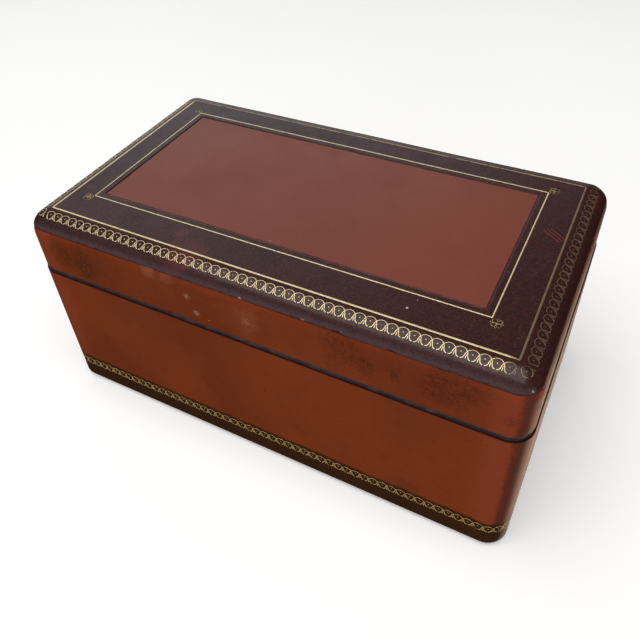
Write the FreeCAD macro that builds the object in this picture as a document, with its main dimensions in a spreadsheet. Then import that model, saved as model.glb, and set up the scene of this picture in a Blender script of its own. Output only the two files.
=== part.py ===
import FreeCAD, Part
import os
import re
import Sketcher

# Leather jewellery case: a leather-covered wooden base, a hinged lid with an inlaid
# centre panel, two brass lid stays and a lift-out tray.
#
# Frame, in millimetres: +X along the case (left to right), -Y towards the front,
# +Y towards the hinges, +Z up. The origin is on the table, under the middle of the
# case with its hinge barrels.

Vector = FreeCAD.Vector
Rotation = FreeCAD.Rotation
Placement = FreeCAD.Placement

doc = FreeCAD.newDocument("jewellery_case")

# --------------------------------------------------------------------------
# Driving dimensions
# --------------------------------------------------------------------------

DIMENSIONS = [
    # the case
    ("case_length", 254.0, "outside length of the base"),
    ("case_width", 145.2, "outside width of the base, front to back"),
    ("case_height", 116.4, "table to the top of the lid"),
    ("lid_height", 32.0, "seam to the top of the lid"),
    ("seam_gap", 0.2, "gap between the base rim and the lid rim"),
    ("lid_inset", 0.5, "how far the lid stands inside the base, each side"),
    ("corner_radius", 10.5, "upright corners of the base"),
    ("foot_radius", 4.0, "bottom edge of the base"),
    ("shoulder_radius", 9.8, "top edge of the lid"),
    # the carcass and its coverings
    ("leather", 1.2, "thickness of the leather skins"),
    ("wall_board", 6.0, "thickness of the wall boards"),
    ("bottom_board", 5.0, "thickness of the bottom board"),
    ("top_board", 10.0, "thickness of the lid's top board"),
    ("skin_foot", 0.4, "table to the turned-under leather"),
    ("turn_under", 13.0, "width of the leather turned under the base"),
    ("rim_depth", 2.0, "how far the rim leather comes down outside"),
    ("rim_radius", 1.4, "rolled outer edge of the rim leather"),
    ("lining", 1.8, "thickness of the velvet-covered card linings"),
    ("lining_drop", 1.2, "rim to the edge of a lining"),
    ("floor_pad", 2.2, "thickness of the floor pad"),
    ("border_drop", 6.5, "lid top to the lower edge of the border leather"),
    # the inlaid panel of the lid
    ("panel_length", 195.2, "length of the centre panel"),
    ("panel_width", 85.4, "width of the centre panel"),
    ("panel_shift_x", -1.3, "centre panel from the middle of the lid, along X"),
    ("panel_shift_y", 2.3, "centre panel from the middle of the lid, along Y"),
    ("panel_drop", 0.15, "how far the centre panel lies below the border"),
    # what the base holds
    ("divider", 3.0, "thickness of the base dividers"),
    ("divider_top", 51.0, "height of the base dividers above the table"),
    ("cross_divider_at", 42.0, "cross dividers from the middle"),
    ("rest_top", 56.5, "height of the ledges that the tray stands on"),
    ("rest_side", 4.0, "side of the square ledges"),
    ("rest_length", 104.0, "length of the ledges"),
    ("divider_fit", 0.05, "clearance of a half-lap slot, each side"),
    # the tray
    ("tray_gap", 0.5, "tray to the linings, each side"),
    ("tray_height", 26.0, "height of the tray"),
    ("tray_wall", 3.0, "thickness of the tray walls"),
    ("tray_floor", 2.5, "thickness of the tray floor"),
    ("tray_divider", 2.5, "thickness of the tray dividers"),
    ("tray_divider_drop", 3.0, "tray rim to the top of its dividers"),
    ("tray_lift", 0.1, "tray floor above the ledges"),
    ("ring_roll", 14.0, "diameter of a ring roll"),
    ("ring_roll_flat", 0.8, "how much of a roll is flattened on the floor"),
    ("roll_gap", 0.2, "gap between two ring rolls"),
    ("tray_pad", 1.6, "thickness of the pads in the tray"),
    ("tray_long_divider_y", 12.0, "middle of the tray's long divider"),
    ("tray_cross_divider_x", 38.0, "middle of the tray's cross divider"),
    ("pull_width", 16.0, "width of a pull tab"),
    ("pull_foot", 75.0, "lower end of a pull tab above the table"),
    ("pull_straight", 7.0, "straight part of a pull tab"),
    ("pull_thickness", 1.2, "thickness of a pull tab"),
    # the lid's padding
    ("cushion_thickness", 9.7, "thickness of the lid cushion"),
    ("cushion_gap", 0.3, "lid cushion to the lid linings"),
    ("cushion_edge", 3.0, "rounded edge of the lid cushion"),
    # the hinges
    ("hinge_x", 78.0, "middle of each hinge from the middle of the case"),
    ("hinge_out", 2.1, "hinge axis behind the back of the base"),
    ("hinge_width", 30.0, "length of a hinge along X"),
    ("leaf_thickness", 1.0, "thickness of a hinge leaf"),
    ("leaf_reach", 8.5, "hinge axis to the front edge of a leaf"),
    ("knuckle_radius", 1.9, "outside of the hinge barrel"),
    ("knuckle_gap", 0.15, "gap between two knuckles"),
    ("pin_radius", 0.9, "hinge pin"),
    ("pin_play", 0.05, "radial clearance of the pin in the lid knuckles"),
    ("pin_overhang", 0.3, "how far the pin stands out of the barrel"),
    ("swing_gap", 0.25, "leaf to the other leaf's knuckles"),
    ("screw_spacing", 10.0, "screws along a hinge leaf"),
    # the stays
    ("stay_x", 122.55, "plane of each stay from the middle of the case"),
    ("stay_radius", 21.0, "middle line of the stay arc"),
    ("stay_width", 4.0, "radial width of the stay arc"),
    ("stay_thickness", 1.2, "thickness of the stay arc"),
    ("stay_half_angle", 55.5, "half the angle that the stay arc spans"),
    ("nib_angle", 3.0, "angle that a stop nib spans"),
    ("nib_out", 1.1, "how far a stop nib stands out, each side"),
    ("stay_play", 0.4, "radial clearance round the stay arc"),
    ("stay_slot", 1.8, "width of the slots for the stays"),
    ("pocket_half_angle", 57.0, "half the angle of the pockets in the boards"),
    ("plate_width", 5.0, "width of a slotted plate"),
    ("plate_length", 30.0, "length of a slotted plate"),
    ("plate_screw_at", 9.5, "screws from the middle of a slotted plate"),
    # the screws
    ("screw_head", 1.5, "radius of a screw head"),
    ("screw_shank", 0.7, "radius of a screw shank"),
    ("head_depth", 0.8, "depth of a countersunk head"),
    ("screw_length", 5.5, "length of a screw with its head"),
    ("screw_slot", 0.4, "width of the slot in a screw head"),
    ("screw_slot_depth", 0.3, "depth of the slot in a screw head"),
    # the frame
    ("centre_y", -2.0, "middle of the base from the origin, along Y"),
]

sheet = doc.addObject("Spreadsheet::Sheet", "dims")
for row, (alias, number, meaning) in enumerate(DIMENSIONS, start=1):
    sheet.set(f"A{row}", meaning)
    sheet.set(f"B{row}", str(number))
    sheet.setAlias(f"B{row}", alias)
doc.recompute()

NAMES = {alias for alias, _, _ in DIMENSIONS}

# --------------------------------------------------------------------------
# Levels and extents that follow from the driving dimensions
# --------------------------------------------------------------------------

SEAM = "(case_height - lid_height)"
BASE_TOP = f"({SEAM} - seam_gap/2)"
LID_FOOT = f"({SEAM} + seam_gap/2)"
BASE_BOARD_FOOT = "(skin_foot + leather)"
BASE_BOARD_TOP = f"({BASE_TOP} - leather)"
LID_BOARD_FOOT = f"({LID_FOOT} + leather)"
TOP_BOARD_TOP = "(case_height - leather)"
TOP_BOARD_FOOT = f"({TOP_BOARD_TOP} - top_board)"
RIM_FOOT = f"({BASE_TOP} - rim_depth)"
FLOOR_FOOT = f"({BASE_BOARD_FOOT} + bottom_board)"
FLOOR_TOP = f"({FLOOR_FOOT} + floor_pad)"
BORDER_FOOT = "(case_height - border_drop)"

BASE_OUT_X = "(case_length - 2*leather)"
BASE_OUT_Y = "(case_width - 2*leather)"
BASE_IN_X = f"({BASE_OUT_X} - 2*wall_board)"
BASE_IN_Y = f"({BASE_OUT_Y} - 2*wall_board)"
BASE_CLEAR_X = f"({BASE_IN_X} - 2*lining)"
BASE_CLEAR_Y = f"({BASE_IN_Y} - 2*lining)"

LID_X = "(case_length - 2*lid_inset)"
LID_Y = "(case_width - 2*lid_inset)"
LID_OUT_X = f"({LID_X} - 2*leather)"
LID_OUT_Y = f"({LID_Y} - 2*leather)"
LID_IN_X = f"({LID_OUT_X} - 2*wall_board)"
LID_IN_Y = f"({LID_OUT_Y} - 2*wall_board)"

TRAY_X = f"({BASE_CLEAR_X} - 2*tray_gap)"
TRAY_Y = f"({BASE_CLEAR_Y} - 2*tray_gap)"
TRAY_IN_X = f"({TRAY_X} - 2*tray_wall)"
TRAY_IN_Y = f"({TRAY_Y} - 2*tray_wall)"
TRAY_FOOT = "(rest_top + tray_lift)"
TRAY_BED = f"({TRAY_FOOT} + tray_floor)"
TRAY_TOP = f"({TRAY_FOOT} + tray_height)"
TRAY_DIVIDER_TOP = f"({TRAY_TOP} - tray_divider_drop)"
RING_ROLLS = 5
RING_SPAN = f"({RING_ROLLS}*ring_roll + {RING_ROLLS + 1}*roll_gap)"
RING_END_X = f"({RING_SPAN} - {TRAY_IN_X}/2)"
BAY_START_X = f"({RING_END_X} + tray_divider)"
BAY_X = f"({TRAY_IN_X}/2 - {BAY_START_X})"

HINGE_Y = "(case_width/2 + hinge_out)"
LEAF_FRONT_Y = f"({HINGE_Y} - leaf_reach)"
BASE_LEAF_TOP = f"({BASE_BOARD_TOP} + leaf_thickness)"
LID_LEAF_FOOT = f"({LID_BOARD_FOOT} - leaf_thickness)"
KNUCKLES = 5
STAY_Y = f"({HINGE_Y} - stay_radius)"

SIDES = {"left": -1, "right": 1}

# --------------------------------------------------------------------------
# Helpers
# --------------------------------------------------------------------------

NODES = {}


def formula(text):
    """The same text with every dimension read from the sheet."""
    def from_sheet(word):
        name = word.group()
        return f"dims.{name}" if name in NAMES else name
    return re.sub(r"[a-z][a-z_]*", from_sheet, str(text))


def value(text):
    return float(sheet.evalExpression(formula(text)))


def bind(thing, path, text):
    thing.setExpression(path, formula(text))


def keep(thing, name):
    """Makes a finished object the sub-part called name."""
    thing.Label = name
    NODES[name] = thing
    return thing


def put(thing, x, y, z):
    """Binds a position given from the middle of the case and the table."""
    bind(thing, "Placement.Base.x", x)
    bind(thing, "Placement.Base.y", f"centre_y + {y}")
    bind(thing, "Placement.Base.z", z)
    return thing


def block(name, middle, size, foot):
    """A block with its middle at (x, y), standing on foot."""
    solid = doc.addObject("Part::Box", name)
    bind(solid, "Length", size[0])
    bind(solid, "Width", size[1])
    bind(solid, "Height", size[2])
    corner = [f"{m} - ({extent})/2" for m, extent in zip(middle, size)]
    return put(solid, corner[0], corner[1], foot)


def rod(name, radius, length, middle_x, y, z):
    """A cylinder along X with its middle at middle_x."""
    solid = doc.addObject("Part::Cylinder", name)
    solid.Placement = Placement(Vector(), Rotation(Vector(0, 1, 0), 90))
    bind(solid, "Radius", radius)
    bind(solid, "Height", length)
    return put(solid, f"{middle_x} - ({length})/2", y, z)


def joined(name, pieces):
    solid = doc.addObject("Part::MultiFuse", name)
    solid.Shapes = pieces
    return solid


def shared(name, pieces):
    solid = doc.addObject("Part::MultiCommon", name)
    solid.Shapes = pieces
    return solid


def without(name, base, tools):
    """base with every tool cut away."""
    solid = doc.addObject("Part::Cut", name)
    solid.Base = base
    solid.Tool = tools[0] if len(tools) == 1 else joined(f"{name}_tools", tools)
    return solid


def group(name, pieces):
    """Separate solids that share one node."""
    bundle = doc.addObject("Part::Compound", name)
    bundle.Links = pieces
    return bundle


def rounded_sketch(body, name, length, width, radius):
    """A rounded rectangle about the body's Z axis."""
    sketch = body.newObject("Sketcher::SketchObject", name)
    plane = next(f for f in body.Origin.OriginFeatures if f.Role == "XY_Plane")
    sketch.AttachmentSupport = (plane, "")
    sketch.MapMode = "FlatFace"
    r = value(radius)
    ends = [(value(length)/2 - r, value(width)/2), (value(length)/2, value(width)/2 - r)]
    (side_x, side_y), (end_x, end_y) = ends
    lines = [
        ((-side_x, -side_y), (side_x, -side_y)),
        ((end_x, -end_y), (end_x, end_y)),
        ((side_x, side_y), (-side_x, side_y)),
        ((-end_x, end_y), (-end_x, -end_y)),
    ]
    centres = [(side_x, -end_y), (side_x, end_y), (-side_x, end_y), (-side_x, -end_y)]
    right_angle = 1.5707963267948966
    for turn, (line, centre) in enumerate(zip(lines, centres)):
        start, end = [Vector(x, y, 0) for x, y in line]
        sketch.addGeometry(Part.LineSegment(start, end), False)
        circle = Part.Circle(Vector(*centre, 0), Vector(0, 0, 1), r)
        first = (turn - 1)*right_angle
        sketch.addGeometry(Part.ArcOfCircle(circle, first, first + right_angle), False)
    for edge in range(8):
        following = (edge + 1) % 8
        sketch.addConstraint(Sketcher.Constraint("Tangent", edge, 2, following, 1))
    for edge, kind in ((0, "Horizontal"), (2, "Vertical"), (4, "Horizontal"), (6, "Vertical")):
        sketch.addConstraint(Sketcher.Constraint(kind, edge))
    for arc in (3, 5, 7):
        sketch.addConstraint(Sketcher.Constraint("Equal", 1, arc))
    sketch.addConstraint(Sketcher.Constraint("Symmetric", 0, 1, 4, 1, -1, 1))
    sizes = [
        ("length", Sketcher.Constraint("DistanceX", 6, 1, 2, 1, 2*end_x), length),
        ("width", Sketcher.Constraint("DistanceY", 0, 1, 4, 1, 2*side_y), width),
        ("radius", Sketcher.Constraint("Radius", 1, r), radius),
    ]
    for label, constraint, text in sizes:
        index = sketch.addConstraint(constraint)
        sketch.renameConstraint(index, label)
        bind(sketch, f"Constraints.{label}", text)
    return sketch


def prism(name, length, width, radius, foot, top):
    """A body with rounded upright corners, from foot to top."""
    body = doc.addObject("PartDesign::Body", name)
    sketch = rounded_sketch(body, f"{name}_outline", length, width, radius)
    pad = body.newObject("PartDesign::Pad", f"{name}_pad")
    pad.Profile = sketch
    bind(pad, "Length", f"{top} - {foot}")
    put(body, "0", "0", foot)
    return body


def round_edge(body, level, radius):
    """Rounds the ring of edges at a level above the body's own foot."""
    doc.recompute()
    plain = body.Tip
    ring = []
    for number, edge in enumerate(plain.Shape.Edges, start=1):
        box = edge.BoundBox
        if abs(box.ZMin - level) < 0.001 and abs(box.ZMax - level) < 0.001:
            ring.append(f"Edge{number}")
    fillet = body.newObject("PartDesign::Fillet", f"{body.Name}_rounding")
    fillet.Base = (plain, ring)
    bind(fillet, "Radius", radius)
    body.Tip = fillet
    return body


# --------------------------------------------------------------------------
# Blanks: the outsides of the carcass and of the leather
# --------------------------------------------------------------------------

base_blank = prism("base_blank", BASE_OUT_X, BASE_OUT_Y, "corner_radius - leather",
                   BASE_BOARD_FOOT, BASE_BOARD_TOP)
round_edge(base_blank, 0, "foot_radius - leather")

base_skin_blank = prism("base_skin_blank", "case_length", "case_width", "corner_radius",
                        "skin_foot", RIM_FOOT)
round_edge(base_skin_blank, 0, "foot_radius")

rim_blank = prism("rim_blank", "case_length", "case_width", "corner_radius",
                  RIM_FOOT, BASE_TOP)
round_edge(rim_blank, value("rim_depth"), "rim_radius")

lid_blank = prism("lid_blank", LID_OUT_X, LID_OUT_Y, "corner_radius - lid_inset - leather",
                  LID_FOOT, TOP_BOARD_TOP)
round_edge(lid_blank, value(f"{TOP_BOARD_TOP} - {LID_FOOT}"), "shoulder_radius - leather")

lid_skin_blank = prism("lid_skin_blank", LID_X, LID_Y, "corner_radius - lid_inset",
                       LID_FOOT, "case_height")
round_edge(lid_skin_blank, value(f"case_height - {LID_FOOT}"), "shoulder_radius")

# --------------------------------------------------------------------------
# Screws
# --------------------------------------------------------------------------


def screw(name, x, y, face, into):
    """A slotted countersunk screw whose head lies in the plane z = face.

    into is 1 for a screw that points up and -1 for one that points down.
    Gives the whole screw and the shape of the hole that it sits in.
    """
    turn = Rotation() if into > 0 else Rotation(Vector(1, 0, 0), 180)
    head = doc.addObject("Part::Cone", f"{name}_head")
    shank = doc.addObject("Part::Cylinder", f"{name}_shank")
    head.Placement = Placement(Vector(), turn)
    shank.Placement = Placement(Vector(), turn)
    bind(head, "Radius1", "screw_head")
    bind(head, "Radius2", "screw_shank")
    bind(head, "Height", "head_depth")
    bind(shank, "Radius", "screw_shank")
    bind(shank, "Height", "screw_length - head_depth")
    put(head, x, y, face)
    put(shank, x, y, f"{face} + {into}*head_depth")
    hole = joined(f"{name}_hole", [head, shank])
    slot_foot = face if into > 0 else f"{face} - screw_slot_depth"
    slot = block(f"{name}_slot", (x, y), ("3*screw_head", "screw_slot", "screw_slot_depth"),
                 slot_foot)
    return without(name, hole, [slot]), hole


def screw_row(name, places, face, into):
    """Screws at several (x, y), as lists of the screws and of their holes."""
    pairs = [screw(f"{name}_{number}", x, y, face, into)
             for number, (x, y) in enumerate(places, start=1)]
    return [pair[0] for pair in pairs], [pair[1] for pair in pairs]


# --------------------------------------------------------------------------
# Hinges: two brass butt hinges let into the rims at the back
# --------------------------------------------------------------------------

base_screws = []
lid_screws = []
base_back_holes = []
lid_back_holes = []
base_rim_windows = []
lid_rim_windows = []


def knuckle_row(name, numbers, x, radius, play):
    """Barrel stretches of one leaf, or with play the room that they need."""
    pitch = f"hinge_width/{KNUCKLES}"
    rods = []
    for number in numbers:
        middle = f"{x} + {number - (KNUCKLES - 1)/2}*{pitch}"
        rods.append(rod(f"{name}_{number}", radius, f"{pitch} - knuckle_gap + {play}",
                        middle, HINGE_Y, SEAM))
    return rods


def hinge_leaf(name, x, own, other, foot, bore, holes):
    """A leaf plate with its own knuckles, cut clear of the other leaf's knuckles."""
    plate_reach = "leaf_reach - 0.3*knuckle_radius"
    plate = block(f"{name}_plate", (x, f"{LEAF_FRONT_Y} + ({plate_reach})/2"),
                  ("hinge_width - knuckle_gap", plate_reach, "leaf_thickness"), foot)
    room = knuckle_row(f"{name}_room", other, x, "knuckle_radius + swing_gap",
                       "2*knuckle_gap")
    trimmed = without(f"{name}_trimmed", plate, room)
    knuckles = knuckle_row(f"{name}_knuckle", own, x, "knuckle_radius", "0")
    whole = joined(f"{name}_whole", [trimmed] + knuckles)
    pin_hole = rod(f"{name}_bore", bore, "2*hinge_width", x, HINGE_Y, SEAM)
    return keep(without(name, whole, [pin_hole] + holes), name)


for side, sign in SIDES.items():
    x = f"{sign}*hinge_x"
    spread = [f"{x} + {step}*screw_spacing" for step in (-1, 0, 1)]
    base_y = "(case_width/2 - leather - wall_board/2)"
    lid_y = "(case_width/2 - lid_inset - leather - wall_board/2)"
    screws, holes = screw_row(f"hinge_{side}_base_screw", [(at, base_y) for at in spread],
                              BASE_LEAF_TOP, -1)
    base_screws += screws
    base_back_holes += holes
    hinge_leaf(f"hinge_{side}_base_leaf", x, (0, 2, 4), (1, 3), BASE_BOARD_TOP,
               "pin_radius", holes)
    screws, holes = screw_row(f"hinge_{side}_lid_screw", [(at, lid_y) for at in spread],
                              LID_LEAF_FOOT, 1)
    lid_screws += screws
    lid_back_holes += holes
    hinge_leaf(f"hinge_{side}_lid_leaf", x, (1, 3), (0, 2, 4), LID_LEAF_FOOT,
               "pin_radius + pin_play", holes)
    keep(rod(f"hinge_{side}_pin", "pin_radius", "hinge_width + 2*pin_overhang", x,
             HINGE_Y, SEAM), f"hinge_{side}_pin")
    window = (x, f"{LEAF_FRONT_Y} + leaf_reach")
    base_rim_windows.append(block(f"hinge_{side}_base_window", window,
                                  ("hinge_width", "2*leaf_reach", "2*leather"),
                                  BASE_BOARD_TOP))
    lid_rim_windows.append(block(f"hinge_{side}_lid_window", window,
                                 ("hinge_width", "2*leaf_reach", "2*leather"),
                                 f"{LID_BOARD_FOOT} - 2*leather"))

# --------------------------------------------------------------------------
# Stays: a brass arc about the hinge axis, sliding in slots in both side walls
# --------------------------------------------------------------------------


def sector(name, inner, outer, first, last, thickness, x):
    """Part of a flat ring about the hinge axis.

    Angles are in degrees from the direction of the front, and positive upwards.
    """
    pieces = []
    for label, radius in (("out", outer), ("in", inner)):
        disc = doc.addObject("Part::Cylinder", f"{name}_{label}")
        start = Rotation(Vector(0, 0, 1), -90 - value(last))
        disc.Placement = Placement(Vector(), Rotation(Vector(0, 1, 0), 90)*start)
        bind(disc, "Radius", radius)
        bind(disc, "Height", thickness)
        bind(disc, "Angle", f"{last} - ({first})")
        put(disc, f"{x} - ({thickness})/2", HINGE_Y, SEAM)
        pieces.append(disc)
    return without(name, pieces[0], pieces[1:])


stay_pockets = {}
stay_holes = {}
for side, sign in SIDES.items():
    x = f"{sign}*stay_x"
    inner = "(stay_radius - stay_width/2)"
    outer = "(stay_radius + stay_width/2)"
    arc = sector(f"stay_{side}_band", inner, outer, "-stay_half_angle", "stay_half_angle",
                 "stay_thickness", x)
    nibs = [sector(f"stay_{side}_{end}_nib", f"{inner} - nib_out", f"{outer} + nib_out",
                   first, last, "stay_thickness", x)
            for end, first, last in (
                ("lower", "-stay_half_angle", "-stay_half_angle + nib_angle"),
                ("upper", "stay_half_angle - nib_angle", "stay_half_angle"))]
    keep(joined(f"stay_{side}_arc", [arc] + nibs), f"stay_{side}_arc")
    stay_pockets[side] = sector(f"stay_{side}_pocket", f"{inner} - nib_out - stay_play",
                                f"{outer} + nib_out + stay_play", "-pocket_half_angle",
                                "pocket_half_angle", "stay_slot", x)
    places = [(x, f"{STAY_Y} - plate_screw_at"), (x, f"{STAY_Y} + plate_screw_at")]
    plate_size = ("plate_width", "plate_length", "leaf_thickness")
    slot_size = ("stay_slot", "stay_width + 2*stay_play", "3*leaf_thickness")
    for owner, foot, face, into in (("base", BASE_BOARD_TOP, BASE_LEAF_TOP, -1),
                                    ("lid", LID_LEAF_FOOT, LID_LEAF_FOOT, 1)):
        name = f"stay_{side}_{owner}_plate"
        screws, holes = screw_row(f"stay_{side}_{owner}_screw", places, face, into)
        blank = block(f"{name}_blank", (x, STAY_Y), plate_size, foot)
        slot = block(f"{name}_slot", (x, STAY_Y), slot_size, f"{foot} - leaf_thickness")
        keep(without(name, blank, [slot] + holes), name)
        stay_holes[side, owner] = holes
        (base_screws if owner == "base" else lid_screws).extend(screws)
    window_size = ("plate_width", "plate_length", "2*leather")
    base_rim_windows.append(block(f"stay_{side}_base_window", (x, STAY_Y), window_size,
                                  BASE_BOARD_TOP))
    lid_rim_windows.append(block(f"stay_{side}_lid_window", (x, STAY_Y), window_size,
                                 f"{LID_BOARD_FOOT} - 2*leather"))

keep(group("base_screws", base_screws), "base_screws")
keep(group("lid_screws", lid_screws), "lid_screws")

# --------------------------------------------------------------------------
# Carcass: four wall boards for the base and four for the lid, with a bottom
# board between the walls and a top board that caps them
# --------------------------------------------------------------------------


def wall_boards(owner, blank, out_x, out_y, in_y, foot, top, back_holes):
    """Front and back boards over the full length, side boards between them."""
    height = f"{top} - {foot}"
    for side, sign in (("front", -1), ("back", 1)):
        name = f"{owner}_{side}_board"
        slab = block(f"{name}_slab", ("0", f"{sign}*({out_y} - wall_board)/2"),
                     (out_x, "wall_board", height), foot)
        board = shared(f"{name}_shaped", [blank, slab])
        if side == "back":
            board = without(f"{name}_drilled", board, back_holes)
        keep(board, name)
    for side, sign in SIDES.items():
        name = f"{owner}_{side}_board"
        slab = block(f"{name}_slab", (f"{sign}*({out_x} - wall_board)/2", "0"),
                     ("wall_board", in_y, height), foot)
        board = shared(f"{name}_shaped", [blank, slab])
        tools = [stay_pockets[side]] + stay_holes[side, owner]
        keep(without(f"{name}_slotted", board, tools), name)


wall_boards("base", base_blank, BASE_OUT_X, BASE_OUT_Y, BASE_IN_Y, BASE_BOARD_FOOT,
            BASE_BOARD_TOP, base_back_holes)
wall_boards("lid", lid_blank, LID_OUT_X, LID_OUT_Y, LID_IN_Y, LID_BOARD_FOOT,
            TOP_BOARD_FOOT, lid_back_holes)

keep(block("bottom_board_panel", ("0", "0"), (BASE_IN_X, BASE_IN_Y, "bottom_board"),
           BASE_BOARD_FOOT), "base_bottom_board")
top_slab = block("lid_top_slab", ("0", "0"), (LID_X, LID_Y, "top_board"), TOP_BOARD_FOOT)
keep(shared("lid_top_shaped", [lid_blank, top_slab]), "lid_top_board")

# --------------------------------------------------------------------------
# Leather: wrapped sides, rolled rims, the lid's border and its inlaid panel
# --------------------------------------------------------------------------

UNDER_X = "(case_length - 2*turn_under)"
UNDER_Y = "(case_width - 2*turn_under)"
under_window = block("under_window", ("0", "0"), (UNDER_X, UNDER_Y, "2*leather"), "0")
keep(without("base_skin", base_skin_blank, [base_blank, under_window]),
     "base_side_leather")
keep(block("felt_sheet", ("0", "0"), (UNDER_X, UNDER_Y, BASE_BOARD_FOOT), "0"),
     "base_foot_felt")

base_mouth = block("base_mouth", ("0", "0"), (BASE_IN_X, BASE_IN_Y, "3*rim_depth"),
                   f"{RIM_FOOT} - rim_depth")
keep(without("base_rim", rim_blank, [base_blank, base_mouth] + base_rim_windows),
     "base_rim_leather")

lid_skin = without("lid_skin", lid_skin_blank, [lid_blank] + lid_rim_windows)
border_slab = block("border_slab", ("0", "0"), ("2*case_length", "2*case_width",
                                               "2*border_drop"), BORDER_FOOT)
keep(without("lid_sides", lid_skin, [border_slab]), "lid_side_leather")
panel_middle = ("panel_shift_x", "panel_shift_y")
panel_window = block("panel_window", panel_middle,
                     ("panel_length", "panel_width", "3*leather"),
                     f"{TOP_BOARD_TOP} - leather")
lid_border = shared("lid_border", [lid_skin, border_slab])
keep(without("lid_border_open", lid_border, [panel_window]), "lid_border_leather")
keep(block("centre_panel", panel_middle,
           ("panel_length", "panel_width", "leather - panel_drop"), TOP_BOARD_TOP),
     "lid_centre_panel")

lid_rim_ring = prism("lid_rim_ring", LID_OUT_X, LID_OUT_Y,
                     "corner_radius - lid_inset - leather", LID_FOOT, LID_BOARD_FOOT)
lid_mouth = block("lid_mouth", ("0", "0"), (LID_IN_X, LID_IN_Y, "4*leather"),
                  f"{LID_FOOT} - leather")
keep(without("lid_rim", lid_rim_ring, [lid_mouth] + lid_rim_windows), "lid_rim_leather")

# --------------------------------------------------------------------------
# Linings, dividers and ledges
# --------------------------------------------------------------------------


def linings(owner, in_x, in_y, foot, top):
    """Velvet-covered cards on the four inner faces."""
    height = f"{top} - {foot}"
    for side, sign in (("front", -1), ("back", 1)):
        name = f"{owner}_{side}_lining"
        keep(block(f"{name}_card", ("0", f"{sign}*({in_y} - lining)/2"),
                   (in_x, "lining", height), foot), name)
    for side, sign in SIDES.items():
        name = f"{owner}_{side}_lining"
        keep(block(f"{name}_card", (f"{sign}*({in_x} - lining)/2", "0"),
                   ("lining", f"{in_y} - 2*lining", height), foot), name)


linings("base", BASE_IN_X, BASE_IN_Y, FLOOR_FOOT, f"({BASE_TOP} - lining_drop)")
linings("lid", LID_IN_X, LID_IN_Y, f"({LID_FOOT} + lining_drop)", TOP_BOARD_FOOT)

keep(block("floor_card", ("0", "0"), (BASE_CLEAR_X, BASE_CLEAR_Y, "floor_pad"),
           FLOOR_FOOT), "base_floor_pad")

DIVIDER_HEIGHT = f"(divider_top - {FLOOR_TOP})"
long_panel = block("long_panel", ("0", "0"), (BASE_CLEAR_X, "divider", DIVIDER_HEIGHT),
                   FLOOR_TOP)
LAP = "divider + 2*divider_fit"
long_slots = [block(f"long_slot_{side}", (f"{sign}*cross_divider_at", "0"),
                    (LAP, "3*divider", DIVIDER_HEIGHT),
                    f"{FLOOR_TOP} + {DIVIDER_HEIGHT}/2")
              for side, sign in SIDES.items()]
keep(without("long_divider_slotted", long_panel, long_slots), "base_long_divider")
for side, sign in SIDES.items():
    name = f"base_{side}_cross_divider"
    x = f"{sign}*cross_divider_at"
    panel = block(f"{name}_panel", (x, "0"), ("divider", BASE_CLEAR_Y, DIVIDER_HEIGHT),
                  FLOOR_TOP)
    slot = block(f"{name}_slot", (x, "0"), ("3*divider", LAP, DIVIDER_HEIGHT),
                 f"{FLOOR_TOP} - {DIVIDER_HEIGHT}/2 + divider_fit")
    keep(without(f"{name}_slotted", panel, [slot]), name)
    ledge = f"tray_ledge_{side}"
    keep(block(f"{ledge}_strip", (f"{sign}*({BASE_CLEAR_X} - rest_side)/2", "0"),
               ("rest_side", "rest_length", "rest_side"), "rest_top - rest_side"), ledge)

# --------------------------------------------------------------------------
# Tray: thin covered walls on a floor, ring rolls and bays, two pull tabs
# --------------------------------------------------------------------------

WALL_HEIGHT = f"({TRAY_TOP} - {TRAY_BED})"
for side, sign in (("front", -1), ("back", 1)):
    name = f"tray_{side}_wall"
    keep(block(f"{name}_strip", ("0", f"{sign}*({TRAY_Y} - tray_wall)/2"),
               (TRAY_X, "tray_wall", WALL_HEIGHT), TRAY_BED), name)
for side, sign in SIDES.items():
    name = f"tray_{side}_wall"
    keep(block(f"{name}_strip", (f"{sign}*({TRAY_X} - tray_wall)/2", "0"),
               ("tray_wall", TRAY_IN_Y, WALL_HEIGHT), TRAY_BED), name)
keep(block("tray_floor_sheet", ("0", "0"), (TRAY_X, TRAY_Y, "tray_floor"), TRAY_FOOT),
     "tray_floor")

TRAY_DIVIDER_HEIGHT = f"({TRAY_DIVIDER_TOP} - {TRAY_BED})"
keep(block("ring_divider", (f"({RING_END_X} + tray_divider/2)", "0"),
           ("tray_divider", TRAY_IN_Y, TRAY_DIVIDER_HEIGHT), TRAY_BED),
     "tray_ring_divider")
keep(block("bay_divider", (f"({BAY_START_X} + {BAY_X}/2)", "tray_long_divider_y"),
           (BAY_X, "tray_divider", TRAY_DIVIDER_HEIGHT), TRAY_BED), "tray_long_divider")
FRONT_BAY_Y = f"(tray_long_divider_y - tray_divider/2 + {TRAY_IN_Y}/2)"
BACK_BAY_Y = f"({TRAY_IN_Y}/2 - tray_long_divider_y - tray_divider/2)"
FRONT_BAY_MIDDLE = f"({FRONT_BAY_Y}/2 - {TRAY_IN_Y}/2)"
BACK_BAY_MIDDLE = f"({TRAY_IN_Y}/2 - {BACK_BAY_Y}/2)"
keep(block("bay_cross_divider", ("tray_cross_divider_x", FRONT_BAY_MIDDLE),
           ("tray_divider", FRONT_BAY_Y, TRAY_DIVIDER_HEIGHT), TRAY_BED),
     "tray_cross_divider")

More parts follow.
